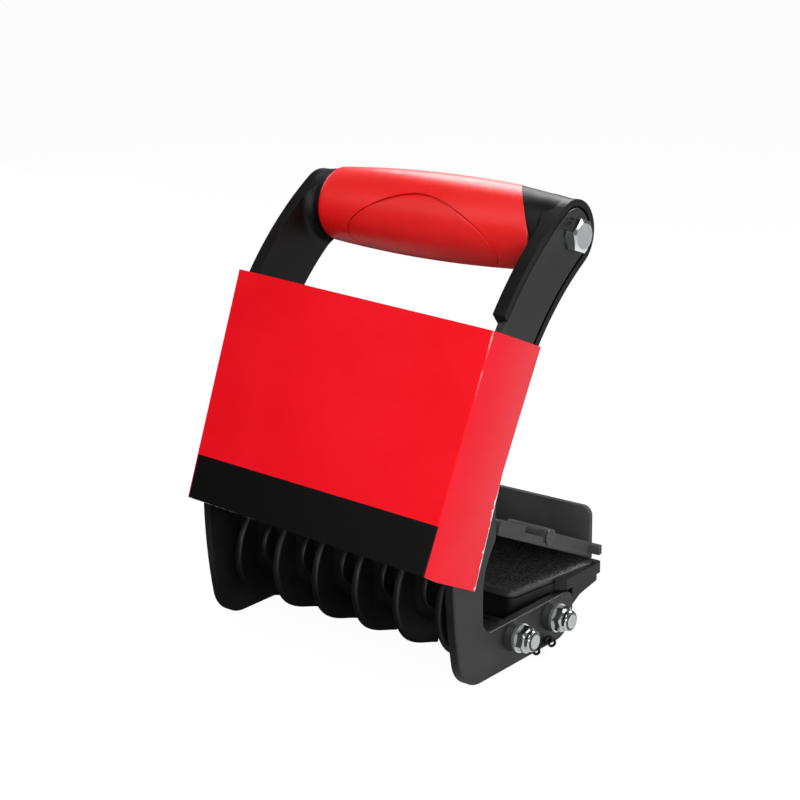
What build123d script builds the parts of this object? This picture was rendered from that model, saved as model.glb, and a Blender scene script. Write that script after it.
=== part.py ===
from build123d import *
import os
from math import acos, atan2, cos, degrees, radians, sin, sqrt, tan

# One-hand carrier for sheets and panels, in millimetres.
# X runs across the hand, +Y to the back where the mouth opens, +Z up.
# Side outlines are drawn in the Y-Z plane from a datum at the foot's front,
# and the whole part is then moved so that its origin lies under its middle.
ORIGIN_BACK = 43.0

# Side arms: flat mouldings with a foot leg, a front limb and a rising arm
WIDTH_OVER_ARMS = 176.0
ARM_THICK = 5.5
ARM_EDGE_ROUND = 1.0
FRONT_Y = -14.0
BEND_RADIUS = 203.5
BEND_Z = 69.0
LIMB_BAND = 33.5
FRONT_EASE_RADIUS = 300.0
FOOT_FRONT_ROUND = 19.0
LEG_END_Y = 96.0
LEG_HEIGHT = 26.0
LEG_HEEL_ROUND = 16.0
LEG_TOP_ROUND = 7.0
MOUTH_ROOT_Y = 12.0
MOUTH_ROOT_ROUND = 8.0
MOUTH_CURVE_Z = 48.0
MOUTH_CURVE_RADIUS = 40.0
MOUTH_CURVE_SWEEP = 44.0
MOUTH_NOSE_ROUND = 6.0
MOUTH_TOP_Z = 105.0

# Handle end of the arm
ARM_BAND = 28.5
NECK_HIGH_ANGLE = 27.0
NECK_LOW_ANGLE = 11.0
HANDLE_ANGLE = 58.4
SHOE_START_ANGLE = 38.2
SHOE_SLANT = 1.3
SHOE_BACK_ANGLE = 25.0
SHOE_SPLIT = 3.0
SHOE_CLEAR = 1.0
SHOE_RIM = 3.6
SHOE_WALL = 2.7
SHOE_WIDE = 7.4
SHOE_END_GAP = 0.6

# Bar handle and its grip
BAR_RADIUS = 17.0
GRIP_END_GAP = 10.0
GRIP_END_RADIUS = 21.0
GRIP_MID_RADIUS = 24.2
GRIP_END_ROUND = 1.5
COLLAR_ROOT = 2.0
COLLAR_DROP = 0.8
COLLAR_START = 48.0
FLARE_ROUND = 7.0
SCOOP_ANGLE = 35.0
SCOOP_LIFT = 20.0
SCOOP_INSET = 2.5
INLAY_HALF_LENGTH = 51.0
INLAY_HALF_HEIGHT = 22.8
INLAY_TILT = 32.0
INLAY_DEPTH = 2.2
SEAM_GAP = 0.3

# Handle bolts and their threaded inserts
HANDLE_BOLT_DIA = 10.0
HANDLE_HEX = 17.0
HANDLE_HEAD = 6.4
HANDLE_BOLT_LENGTH = 30.0
INSERT_DIA = 15.0
INSERT_LENGTH = 20.0

# Leg bolts, washers and lock nuts
LEG_BOLT_DIA = 8.0
LEG_BOLT_Z = 17.0
LEG_BOLT_FRONT_Y = 39.0
LEG_BOLT_REAR_Y = 74.0
LEG_HEX = 13.0
LEG_HEAD = 5.3
BOSS_BASE_DIA = 17.0
BOSS_TOP_DIA = 15.0
BOSS_HEIGHT = 4.0
WASHER_DIA = 16.0
WASHER_THICK = 1.6
NUT_HEX_HEIGHT = 6.4
NUT_COLLAR_DIA = 11.6
NUT_HEIGHT = 8.0
NUT_RING_DEPTH = 1.8
NUT_RING_WALL = 1.1
NUT_SEAT = 0.7
BOLT_PROUD = 0.5
BOLT_CLEAR = 0.2
THREAD_CLEAR = 0.04

# Ribbed core between the arms
WEB_FORWARD = 2.5
WEB_BACKWARD = 1.0
WEB_FOOT_Y = 29.0
WEB_TONGUE = 2.4
TONGUE_CLEAR = 0.15
RIB_COUNT = 6
RIB_THICK = 4.4
RIB_ROUND = 1.8
RIB_LINE = [
    (22, 76), (10.5, 69.5), (1.2, 58), (-3.2, 50.5), (-5.4, 43), (-6, 37),
    (-5, 30), (-1.6, 22), (4, 15.3), (10.5, 11.4), (19, 8.4), (28.5, 5.4),
]
LOW_RIB_THICK = 3.4
LOW_RIB_ROUND = 1.2
LOW_RIB_LINE = [(20, 67), (5, 56.5), (1.6, 51), (0.5, 45), (1.6, 40.8), (4, 37.6), (11.8, 34.5)]
EAR_SPACING = 56.0
EAR_THICK = 6.0
EAR_EYE_RADIUS = 5.4
EAR_OVER_JAW = 1.2

# Swinging jaw, drawn level with its pin at the drawing's origin
PIN_Y = 81.7
PIN_Z = 59.0
PIN_DIA = 6.0
PIN_CLEAR = 0.05
REST_ANGLE = 24.0
JAW_FRONT = 50.0
JAW_BACK = 45.8
JAW_SIDE_CLEAR = 1.5
JAW_FACE_DROP = 5.8
JAW_PAD_THICK = 2.4
JAW_PAD_OVERHANG = 0.6
JAW_PLATE_THICK = 2.6
CHEEK_THICK = 3.2
CHEEK_RISE = 2.9
CHEEK_FRONT_ROUND = 4.0
PIN_BOSS_RADIUS = 4.7
PIN_BOSS_PROUD = 0.6
POCKET_LENGTH = 20.0
PIN_TUBE_LENGTH = 27.0
WINDOW_CLEAR = 1.0
UPRIGHT_THICK = 3.0
UPRIGHT_TOP_Z = 64.5
UPRIGHT_FOOT_GAP = 0.5
UPRIGHT_ROUND = 5.5
TAB_INSET = 0.5
TAB_LOW_Z = 37.4
TAB_HEIGHT = 5.4
CAP_DIA = 9.2
CAP_THICK = 0.8

# Pad carrier and its rubber pad
PAD_TOP_Z = 34.2
PAD_THICK = 3.0
PAD_FRONT_Y = 52.0
PAD_BACK_Y = 120.7
PAD_FRONT_INSET = 5.3
PAD_BACK_INSET = 1.5
PAD_CORNER = 4.0
DECK_THICK = 4.2
DECK_MARGIN = 1.0
DECK_WIDE_Y = 85.0
DECK_BACK_Y = 125.3
DECK_CORNER = 3.0
DECK_SHOULDER = 5.0
LIP_DROP = 1.0
PAD_FIT = 0.3
CARRIER_SIDE_CLEAR = 0.3
CARRIER_WALL_INSET = 1.5
CARRIER_WALL = 3.2
CARRIER_NOSE_Y = 31.0
CARRIER_BOTTOM_Z = 8.0
CARRIER_HEEL_Y = 82.0
CARRIER_KICK_Y = 104.5
CARRIER_KICK_Z = 19.6
CARRIER_TAIL_Y = 121.5
CARRIER_TAIL_Z = 22.6
TUBE_DIA = 14.0
CARRIER_BAYS = 5
CARRIER_RIB_THICK = 3.0
TAIL_CHEEK_INSET = 1.2
TAIL_CHEEK_THICK = 3.0
LEG_END_CLEAR = 1.0
NUB_LENGTH = 3.2
NUB_HEIGHT = 5.0

# Card sleeve round the arms, slipped on slightly askew
CARD_THICK = 0.8
CARD_SLACK = 0.1
CARD_RIGHT_FRONT_TOP = (20.0, 189.1)
CARD_RIGHT_FRONT_LOW = (-39.3, 74.0)
CARD_RIGHT_BACK_TOP = (62.0, 171.7)
CARD_RIGHT_BACK_LOW = (2.9, 54.1)
CARD_LEFT_FRONT_TOP = (22.8, 197.9)
CARD_LEFT_FRONT_LOW = (-25.2, 77.1)
CARD_LEFT_BACK_TOP = (70.7, 177.9)
CARD_LEFT_BACK_LOW = (15.8, 60.7)
CARD_BACK_PANEL = 72.0

# Sizes that follow from the ones above
ARM_OUT_X = WIDTH_OVER_ARMS / 2
ARM_IN_X = ARM_OUT_X - ARM_THICK
BEND_Y = FRONT_Y + BEND_RADIUS
BACK_RADIUS = BEND_RADIUS - LIMB_BAND
ARM_MID_RADIUS = BACK_RADIUS + ARM_BAND / 2
ARM_TOP_RADIUS = BACK_RADIUS + ARM_BAND
SHOE_HALF = ARM_BAND / 2 + SHOE_CLEAR + SHOE_RIM
SHOE_SEAT_X = ARM_IN_X + SHOE_WALL
SHOE_IN_X = ARM_OUT_X - SHOE_WIDE
HANDLE_Y = BEND_Y - ARM_MID_RADIUS * cos(radians(HANDLE_ANGLE))
HANDLE_Z = BEND_Z + ARM_MID_RADIUS * sin(radians(HANDLE_ANGLE))
MOUTH_CURVE_Y = MOUTH_ROOT_Y + MOUTH_CURVE_RADIUS
BOSS_X = ARM_OUT_X + BOSS_HEIGHT
NUT_X = BOSS_X + WASHER_THICK
RIB_PITCH = 2 * (ARM_OUT_X - ARM_THICK / 2) / RIB_COUNT
JAW_HALF_WIDTH = ARM_IN_X - JAW_SIDE_CLEAR
PAD_FRONT_HALF = ARM_IN_X - PAD_FRONT_INSET
PAD_BACK_HALF = ARM_OUT_X - PAD_BACK_INSET
JAW_PLATE_LOW = JAW_PAD_THICK - JAW_FACE_DROP
JAW_PLATE_TOP = JAW_PLATE_LOW + JAW_PLATE_THICK
WINDOW_HALF = EAR_EYE_RADIUS + WINDOW_CLEAR
DECK_TOP_Z = PAD_TOP_Z - PAD_THICK
DECK_LOW_Z = DECK_TOP_Z - DECK_THICK
LIP_Z = PAD_TOP_Z - LIP_DROP
CARD_IN_X = ARM_OUT_X + CARD_SLACK
CARD_OUT_X = CARD_IN_X + CARD_THICK
GRIP_END_X = ARM_IN_X - GRIP_END_GAP
BOLT_PLACES = [(LEG_BOLT_FRONT_Y, LEG_BOLT_Z), (LEG_BOLT_REAR_Y, LEG_BOLT_Z)]


# Drawing aids
STANDING = (Align.CENTER, Align.CENTER, Align.MIN)
HANGING = (Align.CENTER, Align.CENTER, Align.MAX)
AHEAD = (Align.CENTER, Align.MIN)


def slab(face, x_low, x_high):
    """A side outline drawn in Y and Z, given thickness from x_low to x_high."""
    return extrude(Plane.YZ.offset(x_low) * face, x_high - x_low, dir=(1, 0, 0))


def rod(place, radius, x_low, x_high):
    """A round bar along X through a (Y, Z) place."""
    return slab(Pos(place[0], place[1]) * Circle(radius), x_low, x_high)


def bend_point(radius, angle):
    """A point on a circle about the bend's centre, angle above the forward direction."""
    turn = radians(angle)
    return (BEND_Y - radius * cos(turn), BEND_Z + radius * sin(turn))


def bend_arc(radius, start, end):
    """An arc about the bend's centre."""
    return CenterArc((BEND_Y, BEND_Z), radius, 180 - start, start - end)


def round_corner(face, point, radius):
    """The outline with its corner nearest to the point rounded."""
    corner = face.vertices().sort_by_distance(Vector(point[0], point[1], 0))[0]
    return fillet(corner, radius)


def back_edge_y(height):
    """Y of the limb's back edge at a height."""
    return BEND_Y - sqrt(BACK_RADIUS**2 - (height - BEND_Z) ** 2)


def jaw_point(u, v):
    """A point of the level jaw drawing, carried to the closed rest position."""
    tilt = radians(REST_ANGLE)
    return (PIN_Y + u * cos(tilt) + v * sin(tilt), PIN_Z - u * sin(tilt) + v * cos(tilt))


def hexagon(across, place, x_low, x_high, outward):
    """A hexagon prism along X whose outer end is chamfered at thirty degrees."""
    body = slab(Pos(*place) * RegularPolygon(across / 2, 6, major_radius=False), x_low, x_high)
    outer_x = x_high if outward > 0 else x_low
    depth = x_high - x_low
    reach = across / 2 + depth / tan(radians(30))
    cone = Cone(reach, across / 2, depth, align=HANGING)
    cone = Pos(outer_x, place[0], place[1]) * Rot(0, 90 * outward, 0) * cone
    return body & cone


# Side arms
def arm_end_round(half_band):
    """Half circle round the handle axis that closes a band of the arm."""
    turn = radians(HANDLE_ANGLE)
    crown = (HANDLE_Y + half_band * sin(turn), HANDLE_Z + half_band * cos(turn))
    low = bend_point(ARM_MID_RADIUS - half_band, HANDLE_ANGLE)
    high = bend_point(ARM_MID_RADIUS + half_band, HANDLE_ANGLE)
    return ThreePointArc(low, crown, high)


def arm_outline():
    ease = FRONT_EASE_RADIUS
    toe_y = FRONT_Y + ease - sqrt(ease**2 - BEND_Z**2)
    toe_angle = degrees(atan2(BEND_Z, FRONT_Y + ease - toe_y))
    sweep = radians(MOUTH_CURVE_SWEEP)
    nose = (
        MOUTH_CURVE_Y - MOUTH_CURVE_RADIUS * cos(sweep),
        MOUTH_CURVE_Z + MOUTH_CURVE_RADIUS * sin(sweep),
    )
    mouth_top = (back_edge_y(MOUTH_TOP_Z), MOUTH_TOP_Z)
    top_angle = degrees(atan2(MOUTH_TOP_Z - BEND_Z, BEND_Y - mouth_top[0]))
    root = (MOUTH_ROOT_Y, LEG_HEIGHT)
    edges = [
        Line((toe_y, 0), (LEG_END_Y, 0)),
        Line((LEG_END_Y, 0), (LEG_END_Y, LEG_HEIGHT)),
        Line((LEG_END_Y, LEG_HEIGHT), root),
        Line(root, (MOUTH_ROOT_Y, MOUTH_CURVE_Z)),
        CenterArc((MOUTH_CURVE_Y, MOUTH_CURVE_Z), MOUTH_CURVE_RADIUS, 180, -MOUTH_CURVE_SWEEP),
        Line(nose, mouth_top),
        bend_arc(BACK_RADIUS, top_angle, HANDLE_ANGLE),
        arm_end_round(ARM_BAND / 2),
        bend_arc(ARM_TOP_RADIUS, HANDLE_ANGLE, NECK_HIGH_ANGLE),
        Line(bend_point(ARM_TOP_RADIUS, NECK_HIGH_ANGLE), bend_point(BEND_RADIUS, NECK_LOW_ANGLE)),
        bend_arc(BEND_RADIUS, NECK_LOW_ANGLE, 0),
        CenterArc((FRONT_Y + ease, BEND_Z), ease, 180, toe_angle),
    ]
    face = make_face(edges)
    face = round_corner(face, (toe_y, 0), FOOT_FRONT_ROUND)
    face = round_corner(face, (LEG_END_Y, 0), LEG_HEEL_ROUND)
    face = round_corner(face, (LEG_END_Y, LEG_HEIGHT), LEG_TOP_ROUND)
    face = round_corner(face, root, MOUTH_ROOT_ROUND)
    return round_corner(face, nose, MOUTH_NOSE_ROUND)


def side_arm():
    arm = slab(arm_outline(), ARM_IN_X, ARM_OUT_X)
    arm = fillet(arm.faces().sort_by(Axis.X)[-1].edges(), ARM_EDGE_ROUND)
    for place in BOLT_PLACES:
        boss = Cone(BOSS_BASE_DIA / 2, BOSS_TOP_DIA / 2, BOSS_HEIGHT, align=STANDING)
        arm += Pos(ARM_OUT_X, *place) * Rot(0, 90, 0) * boss
    for place in BOLT_PLACES:
        arm -= rod(place, LEG_BOLT_DIA / 2 + BOLT_CLEAR, ARM_IN_X - 1, BOSS_X + 1)
    arm -= rod((HANDLE_Y, HANDLE_Z), HANDLE_BOLT_DIA / 2 + BOLT_CLEAR, ARM_IN_X - 1, ARM_OUT_X + 1)
    arm -= slab(shoe_outline(SHOE_END_GAP), ARM_IN_X - 1, SHOE_SEAT_X)
    rebate_depth = WEB_TONGUE + TONGUE_CLEAR
    return arm - slab(web_outline(TONGUE_CLEAR), ARM_IN_X - 1, ARM_IN_X + rebate_depth)


# Ribbed core
def web_path(forward):
    """Edges of the mouth's lining, the given distance in front of the arms' mouth edge."""
    reach = MOUTH_CURVE_RADIUS + forward
    sweep = radians(MOUTH_CURVE_SWEEP)
    low = LEG_HEIGHT - forward
    front = MOUTH_ROOT_Y - forward
    bend_low = LEG_HEIGHT + MOUTH_ROOT_ROUND
    corner = (MOUTH_ROOT_Y + MOUTH_ROOT_ROUND, bend_low)
    crest_y = MOUTH_CURVE_Y - MOUTH_CURVE_RADIUS * cos(sweep) - forward
    crest_turn = acos((MOUTH_CURVE_Y - crest_y) / reach)
    crest = (crest_y, MOUTH_CURVE_Z + reach * sin(crest_turn))
    top = (crest_y, MOUTH_TOP_Z)
    edges = [
        Line((WEB_FOOT_Y, low), (corner[0], low)),
        CenterArc(corner, MOUTH_ROOT_ROUND + forward, 270, -90),
        Line((front, bend_low), (front, MOUTH_CURVE_Z)),
        CenterArc((MOUTH_CURVE_Y, MOUTH_CURVE_Z), reach, 180, -degrees(crest_turn)),
        Line(crest, top),
    ]
    return edges, (WEB_FOOT_Y, low), top


def web_outline(clear):
    ahead, ahead_low, ahead_top = web_path(WEB_FORWARD + clear)
    behind, behind_low, behind_top = web_path(-WEB_BACKWARD - clear)
    return make_face(ahead + behind + [Line(ahead_low, behind_low), Line(ahead_top, behind_top)])


def fin(line, thick, edge_round):
    """A fin in front of the web, its front and underside along a smooth line."""
    start = line[0]
    end = line[-1]
    foot = (WEB_FOOT_Y, end[1])
    head = (WEB_FOOT_Y, start[1])
    outline = make_face([Spline(*line), Line(end, foot), Line(foot, head), Line(head, start)])
    edges, low, top = web_path(WEB_FORWARD - RIB_ROUND)
    far = 2 * WEB_FOOT_Y
    edges += [Line(top, (far, top[1])), Line((far, top[1]), (far, 0))]
    edges += [Line((far, 0), (low[0], 0)), Line((low[0], 0), low)]
    body = slab(outline - make_face(edges), -thick / 2, thick / 2)
    return fillet(body.edges().filter_by(GeomType.BSPLINE), edge_round)


def ear_outline():
    """Hinge ear: a tapered arm from the web to an eye round the jaw's pin."""
    pin = (PIN_Y, PIN_Z)
    root_y = web_path(0)[2][0]
    top = (root_y, MOUTH_TOP_Z - RIB_ROUND)
    away = sqrt((top[0] - pin[0]) ** 2 + (top[1] - pin[1]) ** 2)
    turn = atan2(top[1] - pin[1], top[0] - pin[0]) - acos(EAR_EYE_RADIUS / away)
    shoulder = (pin[0] + EAR_EYE_RADIUS * cos(turn), pin[1] + EAR_EYE_RADIUS * sin(turn))
    lift = JAW_PLATE_TOP + EAR_OVER_JAW
    tilt = radians(REST_ANGLE)
    reach = (pin[0] + lift * sin(tilt) - root_y) / cos(tilt)
    outline = Polygon(top, shoulder, pin, jaw_point(0, lift), jaw_point(-reach, lift), align=None)
    return outline + Pos(*pin) * Circle(EAR_EYE_RADIUS)


def ribbed_core():
    end_x = ARM_IN_X + WEB_TONGUE
    core = slab(web_outline(0), -end_x, end_x)
    tall = fin(RIB_LINE, RIB_THICK, RIB_ROUND)
    for index in range(RIB_COUNT):
        core += Pos((index - (RIB_COUNT - 1) / 2) * RIB_PITCH, 0, 0) * tall
    short = fin(LOW_RIB_LINE, LOW_RIB_THICK, LOW_RIB_ROUND)
    for index in range(RIB_COUNT - 1):
        core += Pos((index - RIB_COUNT / 2 + 1) * RIB_PITCH, 0, 0) * short
    for side in (-1, 1):
        middle = side * EAR_SPACING / 2
        core += slab(ear_outline(), middle - EAR_THICK / 2, middle + EAR_THICK / 2)
    reach = EAR_SPACING / 2 + EAR_THICK
    return core - rod((PIN_Y, PIN_Z), PIN_DIA / 2 + PIN_CLEAR, -reach, reach)


# Bar handle
def shoe_outline(gap):
    """Side view of a shoe, its lower ends lengthened by a gap."""
    start = SHOE_START_ANGLE - degrees(gap / BEND_RADIUS)
    back = SHOE_BACK_ANGLE - degrees(gap / BACK_RADIUS)
    split = ARM_MID_RADIUS + SHOE_SPLIT + gap
    high = ARM_MID_RADIUS + SHOE_HALF
    low = ARM_MID_RADIUS - SHOE_HALF
    edges = [
        bend_arc(high, start, HANDLE_ANGLE),
        arm_end_round(SHOE_HALF),
        bend_arc(low, HANDLE_ANGLE, back),
        Line(bend_point(low, back), bend_point(split, back)),
        bend_arc(split, back, start - SHOE_SLANT),
        Line(bend_point(split, start - SHOE_SLANT), bend_point(high, start)),
    ]
    return make_face(edges)


def shoe_socket():
    """The room that the arm takes up inside its shoe."""
    half = ARM_BAND / 2 + SHOE_CLEAR
    start = SHOE_BACK_ANGLE - degrees(SHOE_HALF / BACK_RADIUS)
    low = ARM_MID_RADIUS - half
    high = ARM_MID_RADIUS + half
    edges = [
        bend_arc(high, start, HANDLE_ANGLE),
        arm_end_round(half),
        bend_arc(low, HANDLE_ANGLE, start),
        Line(bend_point(low, start), bend_point(high, start)),
    ]
    return make_face(edges)


def scoop_tool():
    """Everything beyond the slanted end of the grip on its right side."""
    turn = radians(SCOOP_ANGLE)
    lift = radians(SCOOP_LIFT)
    back = Vector(0, cos(lift), sin(lift))
    start = Vector(GRIP_END_X, 0, 0) - back * (GRIP_END_RADIUS - SCOOP_INSET)
    normal = Vector(cos(turn), 0, 0) + back * sin(turn)
    wide = 4 * GRIP_END_X
    return extrude(Plane(start, z_dir=normal) * Rectangle(wide, wide), wide)


def neck(x, radius):
    """A cone round the bar from a place on it to the round head of the right shoe."""
    cone = Cone(radius, SHOE_HALF, SHOE_IN_X + COLLAR_ROOT - x, align=STANDING)
    return Pos(x, 0, 0) * Rot(0, 90, 0) * cone


def flare():
    """A skirt round the neck, hollow-rounded into the inner face of the right shoe."""
    start = SHOE_IN_X - FLARE_ROUND
    edge = SHOE_HALF + FLARE_ROUND
    bow = FLARE_ROUND * sin(radians(45))
    edges = [
        Line((start, 0), (start, SHOE_HALF)),
        ThreePointArc((start, SHOE_HALF), (start + bow, edge - bow), (SHOE_IN_X, edge)),
        Line((SHOE_IN_X, edge), (SHOE_IN_X + COLLAR_ROOT, edge)),
        Line((SHOE_IN_X + COLLAR_ROOT, edge), (SHOE_IN_X + COLLAR_ROOT, 0)),
        Line((SHOE_IN_X + COLLAR_ROOT, 0), (start, 0)),
    ]
    skirt = Pos(0, HANDLE_Y, HANDLE_Z) * revolve(make_face(edges), Axis.X)
    return skirt & slab(shoe_outline(0), start, SHOE_SEAT_X)


def handle_bail():
    axis = (HANDLE_Y, HANDLE_Z)
    shoe = slab(shoe_outline(0), SHOE_IN_X, ARM_OUT_X)
    shoe -= slab(shoe_socket(), SHOE_SEAT_X, ARM_OUT_X + 1)
    shoe += flare()
    shoe += Pos(0, *axis) * neck(GRIP_END_X, GRIP_END_RADIUS - COLLAR_DROP)
    bail = shoe + mirror(shoe, about=Plane.YZ) + rod(axis, BAR_RADIUS, -ARM_IN_X - 1, ARM_IN_X + 1)
    bail += Pos(0, *axis) * (neck(COLLAR_START, barrel_radius(COLLAR_START)) & scoop_tool())
    for side in (-1, 1):
        ends = sorted((side * (SHOE_SEAT_X - INSERT_LENGTH), side * (SHOE_SEAT_X + 1)))
        bail -= rod(axis, INSERT_DIA / 2, *ends)
        tip = ARM_OUT_X - HANDLE_BOLT_LENGTH - BOLT_PROUD
        ends = sorted((side * tip, side * (SHOE_SEAT_X + 1)))
        bail -= rod(axis, HANDLE_BOLT_DIA / 2 + BOLT_CLEAR, *ends)
    return bail


def barrel_radius(along):
    """Radius of the grip at a distance along the bar from its middle."""
    rise = GRIP_MID_RADIUS - GRIP_END_RADIUS
    bow = (GRIP_END_X**2 + rise**2) / (2 * rise)
    return GRIP_MID_RADIUS - bow + sqrt(bow**2 - along**2)


def barrel(inner, skin):
    """The barrel-shaped grip as a body of revolution, its skin taken off by a depth."""
    end = GRIP_END_RADIUS - skin
    edges = [
        Line((-GRIP_END_X, inner), (-GRIP_END_X, end)),
        ThreePointArc((-GRIP_END_X, end), (0, GRIP_MID_RADIUS - skin), (GRIP_END_X, end)),
        Line((GRIP_END_X, end), (GRIP_END_X, inner)),
        Line((GRIP_END_X, inner), (-GRIP_END_X, inner)),
    ]
    return revolve(make_face(edges), Axis.X)


def inlay_tool(shrink):
    """An oval prism that points to the grip's lower front."""
    tilt = radians(INLAY_TILT)
    plane = Plane((0, 0, 0), x_dir=(1, 0, 0), z_dir=(0, -cos(tilt), -sin(tilt)))
    oval = Ellipse(INLAY_HALF_LENGTH - shrink, INLAY_HALF_HEIGHT - shrink)
    return extrude(plane * oval, 2 * GRIP_MID_RADIUS)


def grip_shell():
    shell = barrel(BAR_RADIUS, 0)
    rims = [e for e in shell.edges().filter_by(GeomType.CIRCLE) if abs(e.radius - GRIP_END_RADIUS) < 0.01]
    shell = fillet(rims, GRIP_END_ROUND)
    shell -= inlay_tool(0) - barrel(BAR_RADIUS / 2, INLAY_DEPTH)
    shell -= scoop_tool()
    return Pos(0, HANDLE_Y, HANDLE_Z) * shell


def grip_inlay():
    skin = barrel(BAR_RADIUS, 0) - barrel(BAR_RADIUS, INLAY_DEPTH)
    return Pos(0, HANDLE_Y, HANDLE_Z) * (skin & inlay_tool(SEAM_GAP))


def handle_bolt():
    axis = (HANDLE_Y, HANDLE_Z)
    shank = rod(axis, HANDLE_BOLT_DIA / 2, ARM_OUT_X - HANDLE_BOLT_LENGTH, ARM_OUT_X + HANDLE_HEAD / 2)
    return shank + hexagon(HANDLE_HEX, axis, ARM_OUT_X, ARM_OUT_X + HANDLE_HEAD, 1)


def handle_insert():
    axis = (HANDLE_Y, HANDLE_Z)
    insert = rod(axis, INSERT_DIA / 2, SHOE_SEAT_X - INSERT_LENGTH, SHOE_SEAT_X)
    return insert - rod(axis, HANDLE_BOLT_DIA / 2 + THREAD_CLEAR, 0, SHOE_SEAT_X + 1)


# Leg fasteners
def leg_bolt(place):
    shank = rod(place, LEG_BOLT_DIA / 2, -NUT_X - LEG_HEAD / 2, NUT_X + NUT_HEIGHT + BOLT_PROUD)
    return shank + hexagon(LEG_HEX, place, -NUT_X - LEG_HEAD, -NUT_X, -1)


def leg_washers():
    rings = []
    for place in BOLT_PLACES:
        for side in (-1, 1):
            ends = sorted((side * BOSS_X, side * NUT_X))
            ring = rod(place, WASHER_DIA / 2, *ends)
            rings.append(ring - rod(place, LEG_BOLT_DIA / 2 + BOLT_CLEAR, *ends))
    return Compound(rings)


def lock_nuts():
    nuts = []
    bore = LEG_BOLT_DIA / 2 + THREAD_CLEAR
    tip_x = NUT_X + NUT_HEIGHT
    for place in BOLT_PLACES:
        nut = hexagon(LEG_HEX, place, NUT_X, NUT_X + NUT_HEX_HEIGHT, 1)
        nut += rod(place, NUT_COLLAR_DIA / 2, NUT_X + NUT_SEAT, tip_x)
        nut -= rod(place, bore, NUT_X - 1, tip_x + 1)
        nuts.append(nut - rod(place, bore + NUT_RING_WALL, tip_x - NUT_RING_DEPTH, tip_x + 1))
    return Compound(nuts)


def nut_rings():
    rings = []
    bore = LEG_BOLT_DIA / 2 + THREAD_CLEAR
    tip_x = NUT_X + NUT_HEIGHT
    for place in BOLT_PLACES:
        ring = rod(place, bore + NUT_RING_WALL, tip_x - NUT_RING_DEPTH, tip_x)
        rings.append(ring - rod(place, bore, NUT_X, tip_x + 1))
    return Compound(rings)


# Swinging jaw
def at_rest(shape):
    """Carries a solid drawn level about the pin to the jaw's closed position."""
    return Pos(0, PIN_Y, PIN_Z) * Rot(-REST_ANGLE, 0, 0) * shape


def jaw_windows():
    """Slots in the clamping plate and its pad for the eyes of the hinge ears."""
    wide = EAR_THICK + 2 * WINDOW_CLEAR
    slot = Pos(0, 0, JAW_PLATE_LOW) * Box(wide, 2 * WINDOW_HALF, 4 * JAW_FACE_DROP)
    return [Pos(side * EAR_SPACING / 2, 0, 0) * slot for side in (-1, 1)]


def upright_plate():
    """The plate across the jaw's back end, upright when closed, with a tab on each side."""
    foot_y = jaw_point(JAW_BACK, JAW_PLATE_LOW)[0]
    low = LIP_Z + UPRIGHT_FOOT_GAP
    tall = UPRIGHT_TOP_Z - low
    face = Pos(0, low) * Rectangle(2 * JAW_HALF_WIDTH, tall, align=AHEAD)
    face = fillet(face.vertices().group_by(Axis.Y)[-1], UPRIGHT_ROUND)
    tabs = Rectangle(2 * (ARM_OUT_X - TAB_INSET), TAB_HEIGHT, align=AHEAD)
    face += Pos(0, TAB_LOW_Z) * tabs
    return extrude(Plane.XZ.offset(-foot_y) * face, -UPRIGHT_THICK)


def swing_jaw():
    plate_mid = (JAW_PLATE_LOW + JAW_PLATE_TOP) / 2
    length = JAW_FRONT + JAW_BACK
    middle = (JAW_BACK - JAW_FRONT) / 2
    jaw = Pos(0, middle, plate_mid) * Box(2 * JAW_HALF_WIDTH, length, JAW_PLATE_THICK)
    tall = CHEEK_RISE - JAW_PLATE_LOW
    side = Pos(-JAW_FRONT, JAW_PLATE_LOW) * Rectangle(length, tall, align=Align.MIN)
    side = round_corner(side, (-JAW_FRONT, CHEEK_RISE), CHEEK_FRONT_ROUND)
    cheek = slab(side + Circle(PIN_BOSS_RADIUS), JAW_HALF_WIDTH - CHEEK_THICK, JAW_HALF_WIDTH)
    pocket = Rectangle(POCKET_LENGTH, 2 * tall, align=Align.MIN)
    pocket = Pos(-PIN_BOSS_RADIUS - POCKET_LENGTH, JAW_PLATE_TOP) * pocket
    cheek -= slab(pocket, JAW_HALF_WIDTH - CHEEK_THICK - 1, JAW_HALF_WIDTH + 1)
    tube_start = JAW_HALF_WIDTH - PIN_TUBE_LENGTH
    cheek += rod((0, 0), PIN_BOSS_RADIUS, tube_start, JAW_HALF_WIDTH + PIN_BOSS_PROUD)
    cheek -= Pos(0, 0, JAW_PLATE_LOW) * Box(4 * JAW_HALF_WIDTH, length, PIN_BOSS_RADIUS, align=HANGING)
    jaw += cheek
    jaw += mirror(cheek, about=Plane.YZ)
    for window in jaw_windows():
        jaw -= window
    reach = JAW_HALF_WIDTH + PIN_BOSS_PROUD + 1
    jaw -= rod((0, 0), PIN_DIA / 2, -reach, reach)
    return at_rest(jaw) + upright_plate()


def jaw_pad():
    length = JAW_FRONT + JAW_BACK
    low = -JAW_FACE_DROP + JAW_PAD_THICK / 2
    wide = 2 * (JAW_HALF_WIDTH + JAW_PAD_OVERHANG)
    pad = Pos(0, (JAW_BACK - JAW_FRONT) / 2, low) * Box(wide, length, JAW_PAD_THICK)
    for window in jaw_windows():
        pad -= window
    return at_rest(pad)


def pivot_pin():
    reach = JAW_HALF_WIDTH + PIN_BOSS_PROUD + CAP_THICK
    return rod((PIN_Y, PIN_Z), PIN_DIA / 2, -reach, reach)


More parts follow.
